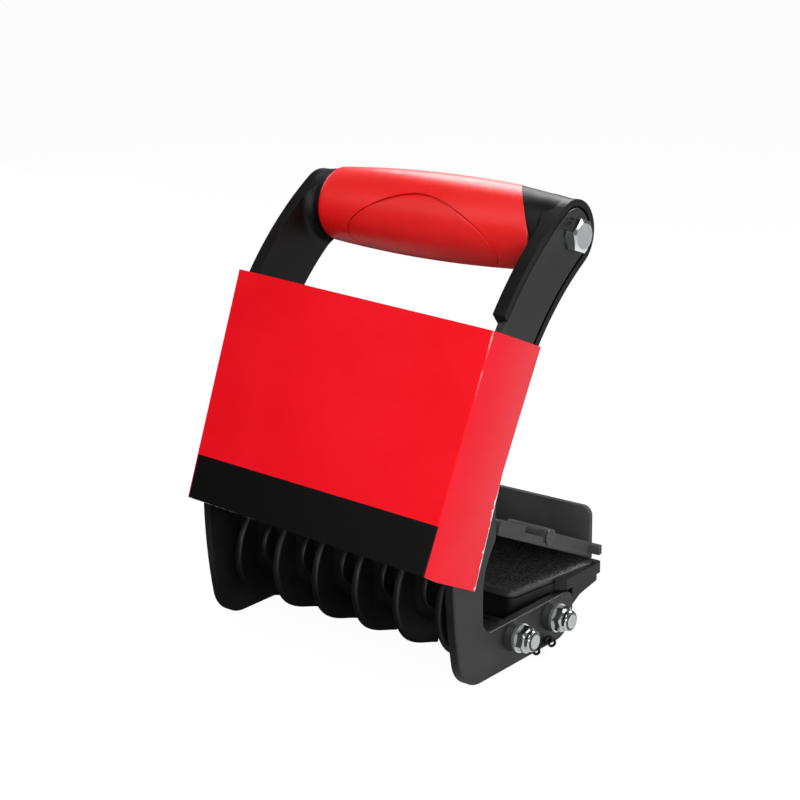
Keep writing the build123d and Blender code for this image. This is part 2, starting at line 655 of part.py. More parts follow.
def pin_caps():
    caps = []
    seat = JAW_HALF_WIDTH + PIN_BOSS_PROUD
    for side in (-1, 1):
        ends = sorted((side * seat, side * (seat + CAP_THICK)))
        cap = rod((PIN_Y, PIN_Z), CAP_DIA / 2, *ends)
        caps.append(cap - rod((PIN_Y, PIN_Z), PIN_DIA / 2, *ends))
    return Compound(caps)


# Pad carrier
def pad_plan(margin, corner):
    """The pad's tapered plan, seen from above, grown by a margin and rounded at its corners."""
    front = PAD_FRONT_HALF + margin
    back = PAD_BACK_HALF + margin
    low = PAD_FRONT_Y - margin
    high = PAD_BACK_Y + margin
    plan = Polygon((-front, low), (front, low), (back, high), (-back, high), align=None)
    return fillet(plan.vertices(), corner)


def carrier_pad():
    return extrude(Pos(0, 0, DECK_TOP_Z) * pad_plan(0, PAD_CORNER), PAD_THICK)


def carrier_side():
    """Side view of the carrier's walls under the deck, from the front bolt to the tail."""
    nose_round = TUBE_DIA / 2
    outline = Polygon(
        (CARRIER_NOSE_Y, CARRIER_BOTTOM_Z),
        (CARRIER_HEEL_Y, CARRIER_BOTTOM_Z),
        (CARRIER_KICK_Y, CARRIER_KICK_Z),
        (CARRIER_TAIL_Y, CARRIER_TAIL_Z),
        (CARRIER_TAIL_Y, DECK_LOW_Z),
        (CARRIER_NOSE_Y, DECK_LOW_Z),
        align=None,
    )
    outline = round_corner(outline, (CARRIER_NOSE_Y, CARRIER_BOTTOM_Z), nose_round)
    return round_corner(outline, (CARRIER_NOSE_Y, DECK_LOW_Z), nose_round)


def carrier_box():
    """The open-bottomed box under the deck, its walls just inside the pad's edge."""
    deep = DECK_LOW_Z - CARRIER_BOTTOM_Z
    outer = pad_plan(-CARRIER_WALL_INSET, PAD_CORNER)
    inner = pad_plan(-CARRIER_WALL_INSET - CARRIER_WALL, PAD_CORNER - CARRIER_WALL)
    walls = extrude(Pos(0, 0, CARRIER_BOTTOM_Z) * (outer - inner), deep)
    return walls & slab(carrier_side(), -ARM_OUT_X, ARM_OUT_X)


def tail_cheek():
    """The deck's side wall behind the leg's end, on the right side."""
    start = LEG_END_Y + LEG_END_CLEAR
    behind = Pos(start, 0) * Rectangle(CARRIER_TAIL_Y - start, DECK_LOW_Z, align=Align.MIN)
    out = ARM_OUT_X - TAIL_CHEEK_INSET
    return slab(carrier_side() & behind, out - TAIL_CHEEK_THICK, out)


def pad_carrier():
    wide_deep = DECK_BACK_Y - DECK_WIDE_Y
    wide = Pos(0, DECK_WIDE_Y) * Rectangle(2 * ARM_OUT_X, wide_deep, align=AHEAD)
    wide = fillet(wide.vertices().group_by(Axis.Y)[-1], DECK_CORNER)
    wide = chamfer(wide.vertices().group_by(Axis.Y)[0], DECK_SHOULDER)
    carrier = extrude(Pos(0, 0, DECK_LOW_Z) * wide, LIP_Z - DECK_LOW_Z)
    carrier -= extrude(Pos(0, 0, DECK_TOP_Z) * pad_plan(PAD_FIT, PAD_CORNER + PAD_FIT), PAD_THICK)
    deck = pad_plan(DECK_MARGIN, PAD_CORNER + DECK_MARGIN)
    deck -= Pos(0, DECK_WIDE_Y + DECK_CORNER) * Rectangle(4 * ARM_OUT_X, wide_deep, align=AHEAD)
    carrier += extrude(Pos(0, 0, DECK_LOW_Z) * deck, DECK_THICK)
    carrier += carrier_box()
    cheek = tail_cheek()
    carrier += cheek
    carrier += mirror(cheek, about=Plane.YZ)
    side = carrier_side()
    tube_end = ARM_IN_X - CARRIER_SIDE_CLEAR
    pitch = 2 * PAD_FRONT_HALF / CARRIER_BAYS
    for index in range(CARRIER_BAYS - 1):
        middle = (index - (CARRIER_BAYS - 2) / 2) * pitch
        carrier += slab(side, middle - CARRIER_RIB_THICK / 2, middle + CARRIER_RIB_THICK / 2)
    nub = Box(2 * tube_end, NUB_LENGTH, NUB_HEIGHT, align=HANGING)
    inside = Box(2 * PAD_FRONT_HALF, NUB_LENGTH, NUB_HEIGHT, align=HANGING)
    carrier += Pos(0, DECK_WIDE_Y - NUB_LENGTH / 2, DECK_LOW_Z) * (nub - inside)
    for place in BOLT_PLACES:
        carrier += rod(place, TUBE_DIA / 2, -tube_end, tube_end)
    for place in BOLT_PLACES:
        carrier -= rod(place, LEG_BOLT_DIA / 2 + BOLT_CLEAR, -ARM_OUT_X, ARM_OUT_X)
    return carrier


# Card sleeve
def shifted(start, end, ahead, aside):
    """A point ahead of start on the way to end, and aside to the left of that way."""
    way = Vector(end[0] - start[0], end[1] - start[1]).normalized()
    return (start[0] + way.X * ahead - way.Y * aside, start[1] + way.Y * ahead + way.X * aside)


def card_prism(left, right, reach):
    """A solid between an outline on the left side and one on the right side."""
    start = Plane.YZ.offset(-reach) * Polygon(*left, align=None)
    end = Plane.YZ.offset(reach) * Polygon(*right, align=None)
    return loft([start, end], ruled=True)


def card_room(front_top, front_low, back_low, back_top):
    """Side view of the room inside the sleeve, open above and below."""
    past = CARD_BACK_PANEL
    return (
        shifted(front_top, front_low, -past, CARD_THICK),
        shifted(front_low, front_top, -past, -CARD_THICK),
        shifted(back_low, back_top, -past, CARD_THICK),
        shifted(back_top, back_low, -past, -CARD_THICK),
    )


def card_gap(back_low, back_top):
    """Side view of the gap under the short back panel."""
    past = CARD_BACK_PANEL
    deep = 2 * CARD_THICK
    return (
        shifted(back_top, back_low, past, -deep),
        shifted(back_low, back_top, -past, deep),
        shifted(back_low, back_top, -past, -deep),
        shifted(back_top, back_low, past, deep),
    )


def card_sleeve():
    left = (CARD_LEFT_FRONT_TOP, CARD_LEFT_FRONT_LOW, CARD_LEFT_BACK_LOW, CARD_LEFT_BACK_TOP)
    right = (CARD_RIGHT_FRONT_TOP, CARD_RIGHT_FRONT_LOW, CARD_RIGHT_BACK_LOW, CARD_RIGHT_BACK_TOP)
    sleeve = card_prism(left, right, CARD_OUT_X)
    sleeve -= card_prism(card_room(*left), card_room(*right), CARD_IN_X)
    return sleeve - card_prism(card_gap(*left[2:]), card_gap(*right[2:]), CARD_IN_X)


# Every piece, in its place
right_arm = side_arm()
right_bolt = handle_bolt()
right_insert = handle_insert()
pieces = {
    "side_arm_right": right_arm,
    "side_arm_left": mirror(right_arm, about=Plane.YZ),
    "ribbed_core": ribbed_core(),
    "handle_bail": handle_bail(),
    "grip_shell": grip_shell(),
    "grip_inlay": grip_inlay(),
    "handle_bolt_right": right_bolt,
    "handle_bolt_left": mirror(right_bolt, about=Plane.YZ),
    "handle_insert_right": right_insert,
    "handle_insert_left": mirror(right_insert, about=Plane.YZ),
    "leg_bolt_front": leg_bolt(BOLT_PLACES[0]),
    "leg_bolt_rear": leg_bolt(BOLT_PLACES[1]),
    "leg_washers": leg_washers(),
    "lock_nuts": lock_nuts(),
    "nut_rings": nut_rings(),
    "swing_jaw": swing_jaw(),
    "jaw_pad": jaw_pad(),
    "pivot_pin": pivot_pin(),
    "pin_caps": pin_caps(),
    "pad_carrier": pad_carrier(),
    "carrier_pad": carrier_pad(),
    "card_sleeve": card_sleeve(),
}
os.makedirs("parts", exist_ok=True)
for name, piece in pieces.items():
    export_step(Pos(0, -ORIGIN_BACK, 0) * piece, "parts/" + name + ".step")
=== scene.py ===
import bpy
from math import cos, pi, radians, sin, sqrt, tan
from mathutils import Matrix, Vector


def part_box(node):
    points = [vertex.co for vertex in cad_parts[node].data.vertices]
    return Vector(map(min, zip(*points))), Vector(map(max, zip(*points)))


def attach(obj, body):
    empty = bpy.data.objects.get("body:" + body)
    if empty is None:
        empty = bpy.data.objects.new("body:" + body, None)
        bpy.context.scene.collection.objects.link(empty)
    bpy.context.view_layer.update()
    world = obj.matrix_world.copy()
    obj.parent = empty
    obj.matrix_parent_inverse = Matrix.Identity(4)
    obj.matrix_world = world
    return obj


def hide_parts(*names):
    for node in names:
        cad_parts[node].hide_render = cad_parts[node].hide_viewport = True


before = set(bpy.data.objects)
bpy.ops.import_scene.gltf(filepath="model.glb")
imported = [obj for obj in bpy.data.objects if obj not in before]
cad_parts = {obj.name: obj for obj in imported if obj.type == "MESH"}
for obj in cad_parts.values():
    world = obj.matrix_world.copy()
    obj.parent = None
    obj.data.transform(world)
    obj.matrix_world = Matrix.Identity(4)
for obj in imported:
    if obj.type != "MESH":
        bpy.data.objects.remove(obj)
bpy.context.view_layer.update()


# Side arms: the two flat C-shaped plates that carry everything else.
# Injection moulded in black glass-filled nylon, with a fine matt spark texture
# on the outer faces that catches grey dust and scuffs low down on the feet.
class Wire:
    """A socket of a material's nodes, so that shader maths is written as sums."""

    def __init__(self, tree, socket):
        self.tree = tree
        self.socket = socket

    def add(self, kind, settings=None, inputs=None, out=0):
        """Any node: its type, its settings, and the values or links of its sockets."""
        node = self.tree.nodes.new("ShaderNode" + kind)
        for key, value in (settings or {}).items():
            setattr(node, key, value)
        for key, value in (inputs or {}).items():
            self.feed(node.inputs[key], value)
        return Wire(self.tree, node.outputs[out])

    def feed(self, slot, value):
        if isinstance(value, Wire):
            self.tree.links.new(value.socket, slot)
        elif isinstance(value, tuple) and len(value) == 3 and slot.type == "RGBA":
            slot.default_value = (*value, 1)
        else:
            slot.default_value = value

    def sum(self, operation, left, right):
        return self.add("Math", {"operation": operation}, {0: left, 1: right})

    def __add__(self, other):
        return self.sum("ADD", self, other)

    def __radd__(self, other):
        return self.sum("ADD", other, self)

    def __sub__(self, other):
        return self.sum("SUBTRACT", self, other)

    def __rsub__(self, other):
        return self.sum("SUBTRACT", other, self)

    def __mul__(self, other):
        return self.sum("MULTIPLY", self, other)

    def __rmul__(self, other):
        return self.sum("MULTIPLY", other, self)

    def __abs__(self):
        return self.sum("ABSOLUTE", self, 0.0)

    def __gt__(self, other):
        return self.sum("GREATER_THAN", self, other)

    def clamp(self, low, high):
        """Nought at low, one at high, eased between."""
        ease = {"interpolation_type": "SMOOTHSTEP"}
        return self.add("MapRange", ease, {"Value": self, "From Min": low, "From Max": high})

    def noise(self, scale, detail=3.0, rough=0.55):
        inputs = {"Vector": self, "Scale": scale, "Detail": detail, "Roughness": rough}
        return self.add("TexNoise", None, inputs)

    def stretch(self, along_x, along_y, along_z):
        """The same coordinates, drawn out where a factor is under one."""
        scale = (along_x, along_y, along_z)
        return self.add("Mapping", None, {"Vector": self, "Scale": scale})

    def mix(self, low, high):
        """Colour low where this value is nought, high where it is one."""
        settings = {"data_type": "RGBA"}
        return self.add("Mix", settings, {"Factor": self, 6: low, 7: high}, out=2)

    def bump(self, strength, distance):
        inputs = {"Height": self, "Strength": strength, "Distance": distance}
        return self.add("Bump", None, inputs)


def new_finish(name, **fixed):
    """A material, the wire of its object coordinates, and its shader's sockets."""
    material = bpy.data.materials.new(name)
    material.use_nodes = True
    tree = material.node_tree
    shader = tree.nodes["Principled BSDF"]
    for key, value in fixed.items():
        shader.inputs[key.replace("_", " ")].default_value = value
    place = Wire(tree, tree.nodes.new("ShaderNodeTexCoord").outputs["Object"])
    return material, place, shader.inputs


def axis_of(place, letter):
    """One of the three coordinates of a place."""
    return place.add("SeparateXYZ", None, {0: place}, out="XYZ".index(letter))


def dress(material, *names):
    """Gives CAD nodes a finish."""
    for name in names:
        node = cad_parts[name]
        node.data.materials.clear()
        node.data.materials.append(material)


def black_moulding(name, dark, pale, gloss, grain, shine=0.5):
    """Black moulding: cloudy sheen, spark-texture grain, and dusty scuffs near the floor."""
    scuff_top, grain_deep = 0.03, 0.0003
    material, place, shader = new_finish(name, IOR=1.5, Specular_IOR_Level=shine)
    cloud = place.noise(38.0, detail=4.0).clamp(0.3, 0.72)
    fine = place.noise(grain, detail=2.0, rough=0.7)
    hair = place.stretch(0.25, 1.0, 2.6).noise(900.0, detail=2.0, rough=0.8).clamp(0.66, 0.78)
    near_floor = 1 - axis_of(place, "Z").clamp(0.0, scuff_top)
    wear = (near_floor * 0.5 + 0.12) * hair
    place.feed(shader["Base Color"], (cloud * 0.6 + wear).mix(dark, pale))
    place.feed(shader["Roughness"], gloss + cloud * 0.1 + wear * 0.12)
    place.feed(shader["Normal"], fine.bump(0.16, grain_deep))
    return material


arm_dark, arm_pale = (0.006, 0.006, 0.0065), (0.013, 0.013, 0.0135)
arm_black = black_moulding("arm_black", arm_dark, arm_pale, 0.44, 2600.0)
dress(arm_black, "side_arm_left", "side_arm_right")

# Ribbed core: the curved web and six round fins that space the arms apart.
# One black moulding with a slightly silkier skin than the arms, its two hinge
# ears reaching back over the mouth.
core_dark, core_pale = (0.0035, 0.0035, 0.0036), (0.008, 0.008, 0.0082)
core_black = black_moulding("core_black", core_dark, core_pale, 0.4, 2200.0, shine=0.4)
dress(core_black, "ribbed_core")

# Pad carrier: the open-bottomed lower jaw between the legs, held by both bolts.
# Matt black moulding, with a rebate on its deck for the rubber pad.
carrier_dark, carrier_pale = (0.005, 0.005, 0.0053), (0.012, 0.012, 0.0124)
carrier_black = black_moulding(
    "carrier_black", carrier_dark, carrier_pale, 0.42, 2400.0, shine=0.3
)
dress(carrier_black, "pad_carrier")


# Carrier pad: a cut sheet of pebbled black rubber glued into the deck.
# Its top is grained like a conveyor mat, and its cut edge is smooth and rolled.
def start_piece(name):
    """Names the object that was just made."""
    piece = bpy.context.object
    piece.name = name
    piece.data.name = name
    return piece


def only(piece):
    """Selects this piece alone and makes it the active one."""
    bpy.ops.object.select_all(action="DESELECT")
    piece.select_set(True)
    bpy.context.view_layer.objects.active = piece


def fix_place():
    """Puts the place, turn and scale of what is selected into its mesh."""
    bpy.ops.object.transform_apply(location=True, rotation=True, scale=True)


def pick(piece, mode, test):
    """Selects in edit mode what passes: points, edges by both ends, faces by their middle."""
    bpy.ops.object.mode_set(mode="EDIT")
    bpy.ops.mesh.select_mode(type=mode)
    bpy.ops.mesh.select_all(action="DESELECT")
    bpy.ops.object.mode_set(mode="OBJECT")
    spots = piece.data.vertices
    if mode == "VERT":
        for spot in spots:
            spot.select = test(spot.co)
    elif mode == "EDGE":
        for edge in piece.data.edges:
            edge.select = test(*(spots[i].co for i in edge.vertices))
    else:
        for face in piece.data.polygons:
            face.select = test(face.center)
    bpy.ops.object.mode_set(mode="EDIT")


def settle(piece, sharp=35):
    """Fixes the piece's place and shades it smooth between edges sharper than an angle."""
    bpy.ops.object.mode_set(mode="OBJECT")
    only(piece)
    fix_place()
    bpy.ops.object.shade_smooth_by_angle(angle=radians(sharp))


def round_edges(piece, width, segments=3, angle=30):
    """Rounds the active piece's edges that are sharper than an angle."""
    bevel = piece.modifiers.new("round", "BEVEL")
    bevel.width = width
    bevel.segments = segments
    bevel.limit_method = "ANGLE"
    bevel.angle_limit = radians(angle)
    bpy.ops.object.modifier_apply(modifier="round")


pad_low, pad_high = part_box("carrier_pad")
pad_middle = [(a + b) / 2 for a, b in zip(pad_low, pad_high)]
pad_back_half, pad_front_half = pad_high[0], 0.0772
pad_corner, pad_roll = 0.0042, 0.0007
bpy.ops.object.select_all(action="DESELECT")
bpy.ops.mesh.primitive_cube_add(size=1, location=pad_middle)
rubber_sheet = start_piece("rubber_sheet")
rubber_sheet.scale = [b - a for a, b in zip(pad_low, pad_high)]
fix_place()
pick(rubber_sheet, "VERT", lambda co: co.y < pad_middle[1])
taper = (pad_front_half / pad_back_half, 1, 1)
bpy.ops.transform.resize(value=taper, center_override=(0, 0, 0))
pick(rubber_sheet, "EDGE", lambda a, b: abs(a.z - b.z) > pad_roll)
bpy.ops.mesh.bevel(offset=pad_corner, segments=8, affect="EDGES")
bpy.ops.object.mode_set(mode="OBJECT")
only(rubber_sheet)
round_edges(rubber_sheet, pad_roll, angle=60)
settle(rubber_sheet)

pebble_scale, pebble_deep = 560.0, 0.0007
edge_start, edge_end = 0.0012, 0.0022
skin_low, skin_high = pad_high[2] - 0.0005, pad_high[2] - 0.0001
pad_rubber, place, shader = new_finish("pad_rubber", IOR=1.5)
cells = {"Vector": place, "Scale": pebble_scale, "Smoothness": 0.2}
pebble = place.add("TexVoronoi", {"feature": "SMOOTH_F1"}, cells)
pebble = (pebble + place.noise(1100.0, detail=2.0) * 0.4).clamp(0.35, 0.85)
from_front = axis_of(place, "Y") - pad_low[1]
widening = (pad_back_half - pad_front_half) / (pad_high[1] - pad_low[1])
from_side = pad_front_half + from_front * widening - abs(axis_of(place, "X"))
grained = from_side.clamp(edge_start, edge_end) * from_front.clamp(edge_start, edge_end)
grained = grained * axis_of(place, "Z").clamp(skin_low, skin_high)
chalk = place.noise(60.0, detail=4.0).clamp(0.45, 0.75)
shade = pebble * grained * 0.62 + (1 - grained) * 0.3 + chalk * 0.1
place.feed(shader["Base Color"], shade.mix((0.004, 0.004, 0.004), (0.125, 0.125, 0.126)))
place.feed(shader["Roughness"], 0.6 - pebble * 0.16)
place.feed(shader["Normal"], (pebble * grained).bump(0.8, pebble_deep))
rubber_sheet.data.materials.append(pad_rubber)
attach(rubber_sheet, "frame")
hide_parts("carrier_pad")


# Leg bolts, washers and nylon rings: two M8 bolts through both legs.
# Rolled steel with a bright zinc coat, duller on the stamped washers, and a
# dark nylon ring pressed into each nut.
def zinc(name, tint, gloss):
    """Plated metal: clouded colour and sheen, with fine marks of the drawing die."""
    material, place, shader = new_finish(name, Metallic=1.0)
    cloud = place.noise(170.0, detail=4.0).clamp(0.25, 0.75)
    marks = place.stretch(3.0, 1.0, 1.0).noise(1500.0, detail=2.0)
    dull = tuple(0.75 * part for part in tint)
    place.feed(shader["Base Color"], (cloud * 0.7 + marks * 0.3).mix(tint, dull))
    place.feed(shader["Roughness"], gloss + cloud * 0.08)
    place.feed(shader["Normal"], marks.bump(0.02, 0.0001))
    return material


bright_zinc = zinc("bright_zinc", (0.6, 0.62, 0.62), gloss=0.13)
dress(bright_zinc, "leg_bolt_front", "leg_bolt_rear")
washer_zinc = zinc("washer_zinc", (0.82, 0.84, 0.84), gloss=0.3)
dress(washer_zinc, "leg_washers")
nylon, place, shader = new_finish("nylon", IOR=1.53)
nylon_tint = place.noise(500.0).mix((0.02, 0.026, 0.027), (0.045, 0.055, 0.056))
place.feed(shader["Base Color"], nylon_tint)
place.feed(shader["Roughness"], 0.36 + place.noise(900.0) * 0.12)
dress(nylon, "nut_rings")


# Lock nuts: one on the right end of each leg bolt, each turned as it was done up.
# Cold formed zinc-coated steel, a hexagon with coned corners and a round collar
# that holds the nylon ring.
def trace(name, points):
    """A chain of edges from point to point, the start of a wire or of a turned profile."""
    bpy.ops.object.select_all(action="DESELECT")
    bpy.ops.mesh.primitive_plane_add(size=0.001)
    piece = start_piece(name)
    bpy.ops.object.mode_set(mode="EDIT")
    bpy.ops.mesh.select_mode(type="VERT")
    bpy.ops.mesh.select_all(action="SELECT")
    bpy.ops.mesh.merge(type="CENTER")
    bpy.ops.transform.translate(value=points[0])
    for start, end in zip(points, points[1:]):
        step = Vector(end) - Vector(start)
        bpy.ops.mesh.extrude_region_move(TRANSFORM_OT_translate={"value": step})
    bpy.ops.object.mode_set(mode="OBJECT")
    return piece


def lathe(name, profile):
    """A ring or solid turned round the X axis from a chain of (x, radius) points."""
    turn_steps, weld = 112, 0.00001
    piece = trace(name, [(x, 0, radius) for x, radius in profile])
    bpy.ops.object.mode_set(mode="EDIT")
    bpy.ops.mesh.select_all(action="SELECT")
    bpy.ops.mesh.remove_doubles(threshold=weld)
    bpy.ops.mesh.spin(steps=turn_steps, angle=2 * pi, center=(0, 0, 0), axis=(1, 0, 0))
    bpy.ops.mesh.select_all(action="SELECT")
    bpy.ops.mesh.remove_doubles(threshold=weld)
    bpy.ops.mesh.normals_make_consistent(inside=False)
    bpy.ops.object.mode_set(mode="OBJECT")
    return piece


def cut(piece, cutter, operation="DIFFERENCE"):
    """Takes the cutter's room out of the piece, or keeps only that, and clears the cutter away."""
    only(piece)
    bite = piece.modifiers.new("cut", "BOOLEAN")
    bite.operation = operation
    bite.object = cutter
    bpy.ops.object.modifier_apply(modifier="cut")
    bpy.data.objects.remove(cutter)


def hex_rod(across_flats, turn, broken):
    """A long hexagon rod on the X axis with broken edges, to trim a turned blank to."""
    rod_long = 0.1
    bpy.ops.object.select_all(action="DESELECT")
    size = {"radius": across_flats / sqrt(3), "depth": rod_long}
    bpy.ops.mesh.primitive_cylinder_add(vertices=6, rotation=(0, pi / 2, 0), **size)
    rod = bpy.context.object
    fix_place()
    rod.rotation_euler = (turn, 0, 0)
    fix_place()
    pick(rod, "EDGE", lambda a, b: abs(a.x - b.x) > rod_long / 2)
    bpy.ops.mesh.bevel(offset=broken, segments=3, affect="EDGES")
    bpy.ops.object.mode_set(mode="OBJECT")
    return rod


nut_seat, leg_bolt_z, nut_flats, nut_break = 0.0936, 0.017, 0.013, 0.0003
nut_places = (("lock_nut_front", -0.004, radians(17.0)), ("lock_nut_rear", 0.031, radians(-10.0)))
nut_profile = (  # distance from the washer and radius, round the nut's section
    (0, 0.0041), (0, 0.0066), (0.0004, 0.0077), (0.0039, 0.0077), (0.0052, 0.0056),
    (0.0054, 0.0056), (0.0054, 0.0058), (0.0071, 0.0058), (0.0076, 0.0056), (0.0079, 0.0054),
    (0.008, 0.00518), (0.0062, 0.00518), (0.0062, 0.0041),
)
lock_nuts = []
for name, y, turn in nut_places:
    nut = lathe(name, nut_profile + nut_profile[:1])
    cut(nut, hex_rod(nut_flats, turn, nut_break), "INTERSECT")
    nut.location = (nut_seat, y, leg_bolt_z)
    settle(nut, sharp=20)
    lock_nuts.append(nut)
bpy.ops.object.select_all(action="DESELECT")
for nut in lock_nuts:
    nut.select_set(True)
bpy.ops.object.join()
nut_pair = start_piece("nut_pair")
nut_zinc = zinc("nut_zinc", (0.6, 0.62, 0.62), gloss=0.13)
nut_pair.data.materials.append(nut_zinc)
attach(nut_pair, "frame")
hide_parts("lock_nuts")

# Wire clip: a small clip of black spring wire caught under the right leg.
# One length of wire, bent into an eye at the front, a straight run below the
# bolts and two more eyes at its end.
clip_x, wire_radius, eye_turn = 0.0888, 0.0008, radians(-40.0)
eye_steps, eye_pitch = 24, 2.1 * wire_radius
facing = Vector((cos(eye_turn), sin(eye_turn), 0))
along = Vector((-sin(eye_turn), cos(eye_turn), 0))
upright = Vector((0, 0, 1))
eyes = (  # y, z, radius, first angle, turn, lift from the leg at both ends
    (0.0142, 0.0025, 0.0016, 90, -360, 1, 0),
    (0.0256, 0.0054, 0.0019, -90, 360, 0, 1),
    (0.0288, 0.0027, 0.0018, -135, 360, 1, 0),
)
route = []
for y, z, radius, first, sweep, lift_start, lift_end in eyes:
    middle = Vector((clip_x + radius * along.x, y, z))
    for i in range(eye_steps + 1):
        part = i / eye_steps
        angle = radians(first + sweep * part)
        lift = eye_pitch * (lift_start + (lift_end - lift_start) * part)
        spoke = cos(angle) * along + sin(angle) * upright
        route.append(middle + radius * spoke + lift * facing)
wire_clip = trace("wire_clip", route)
bpy.ops.object.convert(target="CURVE")
wire_clip.data.bevel_depth = wire_radius
wire_clip.data.bevel_resolution = 3
wire_clip.data.use_fill_caps = True
bpy.ops.object.convert(target="MESH")
start_piece("wire_clip")
settle(wire_clip)
wire_black, place, shader = new_finish("wire_black", IOR=1.5, Specular_IOR_Level=0.15)
wire_tint = place.noise(700.0).mix((0.001, 0.001, 0.001), (0.004, 0.004, 0.004))
place.feed(shader["Base Color"], wire_tint)
place.feed(shader["Roughness"], 0.3 + place.noise(1200.0) * 0.15)
wire_clip.data.materials.append(wire_black)
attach(wire_clip, "frame")

# Swinging jaw: the hinged upper jaw, one black moulding with cheeks and an
# upright plate. It turns on a steel pin whose ends carry pushed-on caps.
# Painted light: its grey is paler than the other mouldings, partly its own paler plastic and
# partly to brighten the upright plate, which stands in shade under the sleeve.
jaw_dark, jaw_pale = (0.062, 0.062, 0.0625), (0.09, 0.09, 0.0906)
jaw_grey_painted_light = black_moulding("jaw_grey_painted_light", jaw_dark, jaw_pale, 0.64, 2400.0, shine=0.06)
dress(jaw_grey_painted_light, "swing_jaw")
pin_black = zinc("pin_black", (0.09, 0.09, 0.095), gloss=0.32)
dress(pin_black, "pivot_pin", "pin_caps")

# Jaw pad: a grey rubber strip bonded under the clamping plate.
# It is slotted where the hinge ears pass, and its cut edges are slightly rolled.
pin_y, pin_z, rest_tilt = 0.0387, 0.059, radians(24.0)
jaw_front, jaw_back, jaw_drop = 0.05, 0.0458, 0.0058
strip_half, strip_thick, strip_roll = 0.0816, 0.0024, 0.0005
ear_x, slot_wide, slot_half = 0.028, 0.008, 0.0064
strip_middle = (0, (jaw_back - jaw_front) / 2, strip_thick / 2 - jaw_drop)
bpy.ops.object.select_all(action="DESELECT")
bpy.ops.mesh.primitive_cube_add(size=1, location=strip_middle)
jaw_strip = start_piece("jaw_strip")
jaw_strip.scale = (2 * strip_half, jaw_front + jaw_back, strip_thick)
fix_place()
for side in (-1, 1):
    bpy.ops.mesh.primitive_cube_add(size=1, location=(side * ear_x, 0, -jaw_drop))
    slot_block = bpy.context.object
    slot_block.scale = (slot_wide, 2 * slot_half, 4 * jaw_drop)
    cut(jaw_strip, slot_block)
round_edges(jaw_strip, strip_roll, segments=2)
tilt = Matrix.Rotation(-rest_tilt, 4, "X")
jaw_strip.matrix_world = Matrix.Translation((0, pin_y, pin_z)) @ tilt
settle(jaw_strip)

strip_rubber, place, shader = new_finish("strip_rubber", IOR=1.5)
speck = place.noise(1500.0, rough=0.7).clamp(0.35, 0.7)
strip_shade = speck * 0.5 + place.noise(90.0) * 0.5
strip_tint = strip_shade.mix((0.028, 0.028, 0.028), (0.055, 0.055, 0.055))
place.feed(shader["Base Color"], strip_tint)
place.feed(shader["Roughness"], 0.6 + speck * 0.15)
place.feed(shader["Normal"], speck.bump(0.35, 0.0003))
jaw_strip.data.materials.append(strip_rubber)
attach(jaw_strip, "jaw")
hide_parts("jaw_pad")

# Handle bail: the black bar with a shoe at each end that wraps the arm.
# Satin moulding over brass inserts, pulled up by one hexagon bolt a side.
bail_dark, bail_pale = (0.003, 0.003, 0.0031), (0.007, 0.007, 0.0072)
bail_black = black_moulding("bail_black", bail_dark, bail_pale, 0.34, 2300.0, shine=0.2)
dress(bail_black, "handle_bail")
brass = zinc("insert_brass", (0.72, 0.55, 0.26), gloss=0.3)
dress(brass, "handle_insert_left", "handle_insert_right")

# Handle bolts: one M10 hexagon bolt a side, screwed into the bail's inserts.
# Cold headed steel with a zinc coat, a washer face under the head, its corners
# coned down to a duller round crown, and every edge slightly broken.
grip_y, grip_z = 0.04996, 0.22593
bolt_seat, bolt_long, bolt_radius, bolt_turn = 0.088, 0.03, 0.005, radians(-19.3)
head_high, head_flats, head_break = 0.0064, 0.017, 0.0005
washer_face, washer_radius = 0.001, 0.0081
crown_radius, crown_slope, crown_ease = 0.007, radians(24.0), head_break / 2
cone_foot = head_high - (head_flats - crown_radius) * tan(crown_slope)
cone_top = head_high - crown_ease * sin(crown_slope)
bolt_profile = (
    (-bolt_long, 0), (-bolt_long, bolt_radius - head_break), (head_break - bolt_long, bolt_radius),
    (0, bolt_radius), (0, washer_radius), (washer_face, washer_radius), (washer_face, head_flats),
    (cone_foot, head_flats), (cone_top, crown_radius + crown_ease * cos(crown_slope)),
    (head_high, crown_radius - crown_ease), (head_high, 0),
)
bolt_right = lathe("hex_bolt_right", bolt_profile)
cut(bolt_right, hex_rod(head_flats, bolt_turn, head_break), "INTERSECT")
only(bolt_right)
bpy.ops.object.duplicate()
bolt_left = start_piece("hex_bolt_left")

head_top = bolt_seat + head_high
crown_start, crown_end = head_top - 0.00004, head_top - 0.00001
handle_zinc, place, shader = new_finish("handle_zinc", Metallic=1.0)
crown = abs(axis_of(place, "X")).clamp(crown_start, crown_end)
cloud = place.noise(170.0, detail=4.0).clamp(0.25, 0.75)
bolt_tint = (crown * 0.75 + cloud * 0.25).mix((0.93, 0.95, 0.96), (0.6, 0.63, 0.64))
place.feed(shader["Base Color"], bolt_tint)
place.feed(shader["Roughness"], 0.12 + crown * 0.1 + cloud * 0.06)
place.feed(shader["Normal"], place.noise(1500.0, detail=2.0).bump(0.02, 0.0001))
for bolt, side, node in (
    (bolt_right, 1, "handle_bolt_right"),
    (bolt_left, -1, "handle_bolt_left"),
):
    bolt.rotation_euler = (0, 0, 0 if side > 0 else pi)
    bolt.location = (side * bolt_seat, grip_y, grip_z)
    settle(bolt, sharp=8)
    bolt.data.materials.append(handle_zinc)
    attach(bolt, "frame")
    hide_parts(node)

# Grip shell: the barrel-shaped red sleeve moulded over the bar.
# Soft satin rubber with a fine skin, its right end cut on a slant where the
# black bail shows, and an oval pocket for the inlay on its lower front.
grip_half, end_radius, mid_radius, bar_radius = 0.0725, 0.021, 0.0242, 0.017
bow_high = mid_radius - end_radius
bow_radius = (grip_half**2 + bow_high**2) / (2 * bow_high)
lip, barrel_steps = 0.0012, 44


def barrel_radius(x):
    """Radius of the grip at a distance along the bar."""
    return mid_radius - bow_radius + sqrt(bow_radius**2 - x**2)


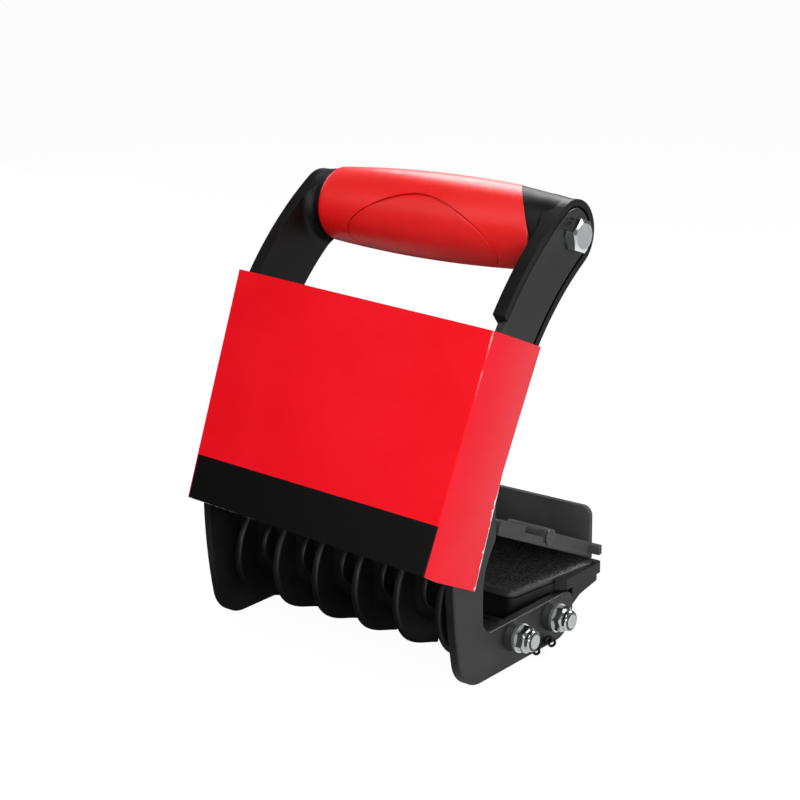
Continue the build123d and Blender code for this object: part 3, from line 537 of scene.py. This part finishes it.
def lip_point(side, angle):
    """A point of the rolled lip at one end of the grip."""
    return side * (grip_half - lip * (1 - cos(angle))), end_radius - lip + lip * sin(angle)


grip_profile = [(-grip_half, bar_radius), (-grip_half, end_radius - lip)]
grip_profile += [lip_point(-1, angle) for angle in (pi / 6, pi / 3)]
for i in range(barrel_steps + 1):
    x = (grip_half - lip) * (2 * i / barrel_steps - 1)
    grip_profile.append((x, barrel_radius(x)))
grip_profile += [lip_point(1, angle) for angle in (pi / 3, pi / 6)]
grip_profile += [(grip_half, end_radius - lip), (grip_half, bar_radius)]
red_shell = lathe("red_shell", grip_profile + grip_profile[:1])

seam_tilt = radians(32.0)
oval_long, oval_high, inlay_deep = 0.051, 0.0228, 0.0022
seam_gap, pocket_over = 0.0004, 0.002


def oval_patch(name, shrink, inward, outward):
    """An oval sheet laid on the barrel from its lower front, then given thickness."""
    rings, heart = 26, 0.6
    bpy.ops.object.select_all(action="DESELECT")
    bpy.ops.mesh.primitive_circle_add(vertices=144, radius=1, fill_type="NGON")
    patch = start_piece(name)
    bpy.ops.object.mode_set(mode="EDIT")
    bpy.ops.transform.resize(value=(oval_long - shrink, oval_high - shrink, 1))
    for ring in range(rings):
        smaller = (rings + heart - 1 - ring) / (rings + heart - ring)
        bpy.ops.mesh.inset(thickness=0)
        bpy.ops.transform.resize(value=(smaller, smaller, 1))
    bpy.ops.object.mode_set(mode="OBJECT")
    aim = Matrix.Rotation(pi / 2 + seam_tilt, 4, "X")
    patch.matrix_world = aim @ Matrix.Translation((0, 0, 2 * mid_radius))
    fix_place()
    way = Vector((0, cos(seam_tilt), sin(seam_tilt)))
    aside = Vector((0, -sin(seam_tilt), cos(seam_tilt)))
    for spot in patch.data.vertices:
        off = spot.co.dot(aside)
        deep = sqrt(barrel_radius(spot.co.x) ** 2 - off**2)
        spot.co = Vector((spot.co.x, 0, 0)) + aside * off - way * deep
    wall = patch.modifiers.new("wall", "SOLIDIFY")
    wall.thickness = inward + outward
    wall.offset = (outward - inward) / (inward + outward)
    wall.use_even_offset = True
    bpy.ops.object.modifier_apply(modifier="wall")
    return patch


cut(red_shell, oval_patch("pocket", -seam_gap, inlay_deep, pocket_over))
scoop_angle, scoop_lift, scoop_inset, slice_size = radians(35.0), radians(20.0), 0.0025, 0.2
rearward = Vector((0, cos(scoop_lift), sin(scoop_lift)))
scoop_start = Vector((grip_half, 0, 0)) - rearward * (end_radius - scoop_inset)
slant = Vector((cos(scoop_angle), 0, 0)) + rearward * sin(scoop_angle)
slice_middle = scoop_start + slant.normalized() * (slice_size / 2)
slice_turn = slant.to_track_quat("Z", "Y").to_matrix().to_4x4()
bpy.ops.object.select_all(action="DESELECT")
bpy.ops.mesh.primitive_cube_add(size=slice_size)
slice_block = bpy.context.object
slice_block.matrix_world = Matrix.Translation(slice_middle) @ slice_turn
cut(red_shell, slice_block)
red_shell.location = (0, grip_y, grip_z)
settle(red_shell)


def soft_red(name, deep, bright, gloss):
    """Satin red rubber: slight colour drift, fine skin grain, and rubbed shinier patches."""
    material, place, shader = new_finish(name, IOR=1.5, Coat_Roughness=0.35)
    drift = place.noise(45.0).clamp(0.3, 0.7)
    skin = place.noise(2600.0, detail=2.0, rough=0.6)
    rubbed = place.noise(70.0, detail=4.0).clamp(0.5, 0.72)
    place.feed(shader["Base Color"], drift.mix(deep, bright))
    place.feed(shader["Roughness"], gloss - rubbed * 0.07)
    place.feed(shader["Coat Weight"], 0.3 + rubbed * 0.2)
    place.feed(shader["Normal"], skin.bump(0.1, 0.0002))
    return material


shell_red = soft_red("shell_red", (0.8, 0.004, 0.004), (0.86, 0.006, 0.006), gloss=0.38)
red_shell.data.materials.append(shell_red)
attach(red_shell, "frame")
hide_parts("grip_shell")

# Grip inlay: a second shot of softer red rubber in the shell's pocket.
# Its edge is rolled, so a fine dark seam runs round it.
inlay_shrink, inlay_roll = 0.0001, 0.0003
red_inlay = oval_patch("red_inlay", inlay_shrink, inlay_deep, 0.0)
red_inlay.location = (0, grip_y, grip_z)
round_edges(red_inlay, inlay_roll, segments=2, angle=45)
settle(red_inlay)
inlay_red = soft_red("inlay_red", (0.76, 0.003, 0.003), (0.82, 0.005, 0.005), gloss=0.42)
red_inlay.data.materials.append(inlay_red)
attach(red_inlay, "frame")
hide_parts("grip_inlay")

# Card sleeve: a loop of red coated board slipped over both arms, a little askew.
# A black band runs low on the front, the back panel is plain and the cut edges white.
# Handling has creased its right side, rubbed the front fold and torn the free edge.
card_x, card_thick, back_panel = 0.0889, 0.0008, 0.072
card_corners = {  # side, front or back, top or bottom: y and z
    (1, -1, 1): (-0.0230, 0.1891), (1, -1, -1): (-0.0823, 0.0740),
    (1, 1, 1): (0.0190, 0.1717), (1, 1, -1): (-0.0401, 0.0541),
    (-1, -1, 1): (-0.0202, 0.1979), (-1, -1, -1): (-0.0682, 0.0771),
    (-1, 1, 1): (0.0277, 0.1779), (-1, 1, -1): (-0.0272, 0.0607),
}
fold_long, fold_roll, card_weld = 0.03, 0.0011, 0.00001
side_bend, corner_tuck = Vector((0, -0.0044, 0)), Vector((-0.002, 0.0025, 0))
crease_top_part, crease_low_part = 0.035, 0.26
bpy.ops.object.select_all(action="DESELECT")
bpy.ops.mesh.primitive_cube_add(size=2)
sleeve = start_piece("printed_sleeve")
pick(sleeve, "FACE", lambda co: abs(co.z) > 0.9)
bpy.ops.mesh.delete(type="ONLY_FACE")
for corner, (y, z) in card_corners.items():
    pick(sleeve, "VERT", lambda co: (co - Vector(corner)).length < 0.01)
    bpy.ops.transform.translate(value=Vector((corner[0] * card_x, y, z)) - Vector(corner))


def card_corner(side, end, top):
    """A corner of the sleeve: right or left, back or front, top or bottom."""
    return Vector((side * card_x, *card_corners[side, end, top]))


def card_spot(side, end, down):
    """A point of the sleeve's side edge, so far down from its top."""
    top = card_corner(side, end, 1)
    return top + (card_corner(side, end, -1) - top).normalized() * down


def on_back(co):
    """Whether a face's middle lies on the back panel."""
    return abs(co.x) < 0.01 and co.y > -0.03


back_left, back_right = card_spot(-1, 1, back_panel), card_spot(1, 1, back_panel)
down_way = card_spot(1, 1, 1.0) - card_spot(1, 1, 0.0)
pick(sleeve, "FACE", on_back)
bpy.ops.mesh.bisect(plane_co=(back_left + back_right) / 2, plane_no=down_way)
pick(sleeve, "FACE", lambda co: on_back(co) and co.z < back_left.z)
bpy.ops.mesh.delete(type="ONLY_FACE")
pick(sleeve, "VERT", lambda co: (co - back_right).length < 0.02)
bpy.ops.transform.translate(value=side_bend)
pick(sleeve, "EDGE", lambda a, b: abs(a.x - b.x) < 0.001 and abs(a.z - b.z) > fold_long)
bpy.ops.mesh.bevel(offset=fold_roll, segments=3, affect="EDGES", clamp_overlap=False)
bpy.ops.mesh.select_all(action="SELECT")
bpy.ops.mesh.remove_doubles(threshold=card_weld)

low_corner = card_corner(1, -1, -1)
crease_top = card_corner(1, -1, 1).lerp(card_corner(1, 1, 1), crease_top_part)
crease_low = low_corner.lerp(card_corner(1, 1, -1), crease_low_part)
crease_across = (crease_low - crease_top).cross(Vector((1, 0, 0)))
pick(sleeve, "FACE", lambda co: co.x > card_x - 0.0001)
bpy.ops.mesh.bisect(plane_co=crease_low, plane_no=crease_across)
pick(sleeve, "VERT", lambda co: (co - low_corner).length < 0.003)
bpy.ops.transform.translate(value=corner_tuck)
bpy.ops.mesh.select_all(action="SELECT")
bpy.ops.mesh.normals_make_consistent(inside=False)
bpy.ops.object.mode_set(mode="OBJECT")

band_drop_left, band_drop_right = 0.1054, 0.1022
band_left, band_right = card_spot(-1, -1, band_drop_left), card_spot(1, -1, band_drop_right)
panel_up = (card_spot(1, -1, 0.0) - card_spot(1, -1, 0.1)).normalized()


def inset(place, start, end, inward):
    """How far a spot lies inside a straight line drawn on the board."""
    run = (end - start).normalized()
    across = (inward - run * inward.dot(run)).normalized()
    reach = place.add("VectorMath", {"operation": "DOT_PRODUCT"}, {0: place, 1: across}, out=1)
    return reach - across.dot(start)


def print_board(place, shader, ink, bare):
    """Lays ink over white board, showing the board where it is rubbed or torn bare."""
    place.feed(shader["Base Color"], bare.mix(ink, (0.84, 0.8, 0.79)))
    place.feed(shader["Roughness"], 0.32 + bare * 0.4 + place.noise(120.0) * 0.06)
    dent = place.noise(16.0, detail=2.0) + place.noise(700.0, detail=2.0) * 0.02
    place.feed(shader["Normal"], dent.bump(0.12, 0.004))


fold_wide = 0.0012
fold_start, fold_end = card_x - fold_wide, card_x - 0.0003
rub_low, rub_high, band_blur = 0.145, 0.172, 0.0001
hem_start, hem_end = 0.0001, 0.00045
front_print, place, shader = new_finish("front_print", IOR=1.48, Specular_IOR_Level=0.1)
ink = place.noise(25.0).clamp(0.3, 0.7).mix((0.81, 0.003, 0.01), (0.85, 0.005, 0.014))
band = 1 - inset(place, band_left, band_right, panel_up).clamp(-band_blur, band_blur)
band = band * (axis_of(place, "X") > fold_wide - card_x)
ink = band.mix(ink, (0.0035, 0.0035, 0.0033))
fold = axis_of(place, "X").clamp(fold_start, fold_end)
rub = fold * axis_of(place, "Z").clamp(rub_low, rub_high)
rub = rub * place.noise(90.0, detail=4.0, rough=0.7).clamp(0.44, 0.62)
hem = inset(place, card_corner(-1, -1, -1), low_corner, panel_up)
hem = (1 - hem.clamp(hem_start, hem_end)) * place.noise(260.0).clamp(0.4, 0.6)
print_board(place, shader, ink, rub * 0.6 + hem * 0.5)

torn_deep, torn_blur, torn_low, torn_high = 0.0016, 0.0004, 0.1, 0.108
side_print, place, shader = new_finish("side_print", IOR=1.48, Specular_IOR_Level=0.3)
ink = place.noise(25.0).clamp(0.3, 0.7).mix((0.82, 0.004, 0.018), (0.86, 0.006, 0.024))
free = inset(place, back_right + side_bend, card_corner(1, 1, -1), Vector((0, -1, 0)))
fibres = place.noise(240.0, detail=4.0, rough=0.7).clamp(0.5, 0.72)
torn = 1 - (free - fibres * torn_deep).clamp(0.0, torn_blur)
low_right = (axis_of(place, "X") > 0) * (1 - axis_of(place, "Z").clamp(torn_low, torn_high))
print_board(place, shader, ink, torn * low_right)


def bare_board(name, pale, dark):
    """Unprinted board with fibres along its length."""
    material, place, shader = new_finish(name, IOR=1.45)
    fibre = place.stretch(1, 0.3, 0.3).noise(1800.0, rough=0.7)
    place.feed(shader["Base Color"], fibre.mix(pale, dark))
    place.feed(shader["Roughness"], 0.75 + fibre * 0.2)
    place.feed(shader["Normal"], fibre.bump(0.3, 0.0002))
    return material


board_core = bare_board("board_core", (0.8, 0.79, 0.76), (0.6, 0.58, 0.54))
board_inside = bare_board("board_inside", (0.72, 0.71, 0.68), (0.6, 0.58, 0.55))
for material in (front_print, side_print, board_core, board_inside):
    sleeve.data.materials.append(material)
front_face, side_face, core_face, inside_face = range(4)
front_out = (band_right - band_left).cross(panel_up).normalized()
for face in sleeve.data.polygons:
    if face.normal.dot(front_out) > 0.3:
        face.material_index = front_face
    else:
        face.material_index = core_face if face.normal.y > 0.5 else side_face
only(sleeve)
board = sleeve.modifiers.new("board", "SOLIDIFY")
board.thickness = card_thick
board.offset = -1
board.material_offset_rim = core_face
board.material_offset = inside_face
bpy.ops.object.modifier_apply(modifier="board")
settle(sleeve)
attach(sleeve, "frame")
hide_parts("card_sleeve")

# Studio: a white floor that stays white to the camera and keeps a faint shadow.
# To glossy rays it shows a painted reflection: dim, but glowing to the right of the object
# and faintly close by on its left, so it lights nothing and only lends sheen. Soft boxes stand
# left, in front, by the camera, above, right, behind and far left, with a small strip over the
# grip.
floor_size, floor_grey, floor_bright, floor_cover = 8, 0.5, 1.07, 0.9
near_start, near_end, right_start, right_end = 0.25, 0.8, 0.05, 0.11
left_start, left_end, beside_y, beside_start, beside_end = 0.12, 0.2, 0.04, 0.08, 0.18
bpy.ops.object.select_all(action="DESELECT")
bpy.ops.mesh.primitive_plane_add(size=floor_size, location=(0, 0, 0))
studio_floor = start_piece("studio_floor")
floor_white, place, shader = new_finish("floor_white", Roughness=0.8)
shader["Base Color"].default_value = (floor_grey, floor_grey, floor_grey, 1)
tree = floor_white.node_tree
rays = tree.nodes.new("ShaderNodeLightPath")
camera_ray = Wire(tree, rays.outputs["Is Camera Ray"])
glossy_ray = Wire(tree, rays.outputs["Is Glossy Ray"])
mirrored = glossy_ray + Wire(tree, rays.outputs["Is Transmission Ray"])
reach = place.add("VectorMath", {"operation": "LENGTH"}, {0: place}, out=1)
near = 1 - reach.clamp(near_start, near_end)
right = axis_of(place, "X").clamp(right_start, right_end)
beside = 1 - abs(axis_of(place, "Y") - beside_y).clamp(beside_start, beside_end)
left = (0 - axis_of(place, "X")).clamp(left_start, left_end) * beside
# Painted reflection: glossy rays see the floor glow on the object's right and faintly near its
# left.
reflection_glow = (right + left * near * 0.35) * (near * 0.28 + 0.55) + 0.03
shown = camera_ray + mirrored * reflection_glow
glow = place.add("Emission", None, {"Color": (1, 1, 1), "Strength": shown * floor_bright})
floor_face = Wire(tree, tree.nodes["Principled BSDF"].outputs[0])
layers = {0: camera_ray * floor_cover + mirrored, 1: floor_face, 2: glow}
cover = place.add("MixShader", None, layers)
tree.links.new(cover.socket, tree.nodes["Material Output"].inputs["Surface"])
studio_floor.data.materials.append(floor_white)

sky_light = 0.1
world = bpy.data.worlds.new("studio")
bpy.context.scene.world = world
world.use_nodes = True
tree = world.node_tree
rays = tree.nodes.new("ShaderNodeLightPath")
strength = Wire(tree, rays.outputs["Is Camera Ray"]) * (1 - sky_light) + sky_light
background = tree.nodes["Background"]
background.inputs["Color"].default_value = (1, 1, 1, 1)
tree.links.new(strength.socket, background.inputs["Strength"])

low_aim, high_aim, grip_aim = (0, 0, 0.12), (0, 0, 0.2), (0.06, 0.05, 0.24)
soft_boxes = (  # name, place, aim, width, height, watts
    ("left_box", (-0.9, -1.2, 1.0), low_aim, 0.8, 0.8, 2),
    ("front_box", (0.1, -1.6, 0.9), low_aim, 0.8, 0.8, 4),
    ("camera_box", (1.1, -1.15, 0.5), low_aim, 0.5, 0.5, 7),
    ("high_box", (0.1, -0.8, 1.6), low_aim, 0.8, 0.8, 13),
    ("right_box", (1.6, -0.4, 0.6), low_aim, 0.8, 0.8, 8),
    ("rear_box", (1.2, 0.8, 0.7), low_aim, 0.8, 0.8, 4),
    ("back_box", (0.25, 0.9, 0.9), high_aim, 0.5, 0.3, 9),
    ("far_left_box", (-1.5, 0.5, 0.5), low_aim, 0.8, 0.8, 5),
    ("grip_strip", (-0.14, 0.29, 0.46), grip_aim, 0.22, 0.2, 0.75),
)
for name, spot, aim, width, height, watts in soft_boxes:
    lamp = bpy.data.lights.new(name, "AREA")
    lamp.shape = "RECTANGLE"
    lamp.size = width
    lamp.size_y = height
    lamp.energy = watts
    holder = bpy.data.objects.new(name, lamp)
    bpy.context.collection.objects.link(holder)
    holder.location = spot
    aim_way = Vector(aim) - Vector(spot)
    holder.rotation_euler = aim_way.to_track_quat("-Z", "Y").to_euler()
    holder.visible_camera = False

azimuth, elevation, roll = radians(38.83), radians(16.21), radians(-0.78)
distance, target = 1.0744, Vector((0.00052, 0.01051, 0.12989))
focus_pixels, photo_pixels, sensor = 1949.8, 800, 36
ahead = (-sin(azimuth) * cos(elevation), cos(azimuth) * cos(elevation), -sin(elevation))
forward = Vector(ahead)
level = forward.cross(Vector((0, 0, 1))).normalized()
plumb = level.cross(forward)
across = level * cos(roll) + plumb * sin(roll)
upward = plumb * cos(roll) - level * sin(roll)
lens = bpy.data.cameras.new("photo_view")
lens.sensor_width = sensor
lens.lens = focus_pixels / photo_pixels * sensor
viewer = bpy.data.objects.new("photo_view", lens)
bpy.context.collection.objects.link(viewer)
axes = Matrix((across, upward, -forward)).transposed().to_4x4()
viewer.matrix_world = Matrix.Translation(target - forward * distance) @ axes
bpy.context.scene.camera = viewer
bpy.context.scene.view_settings.view_transform = "Standard"
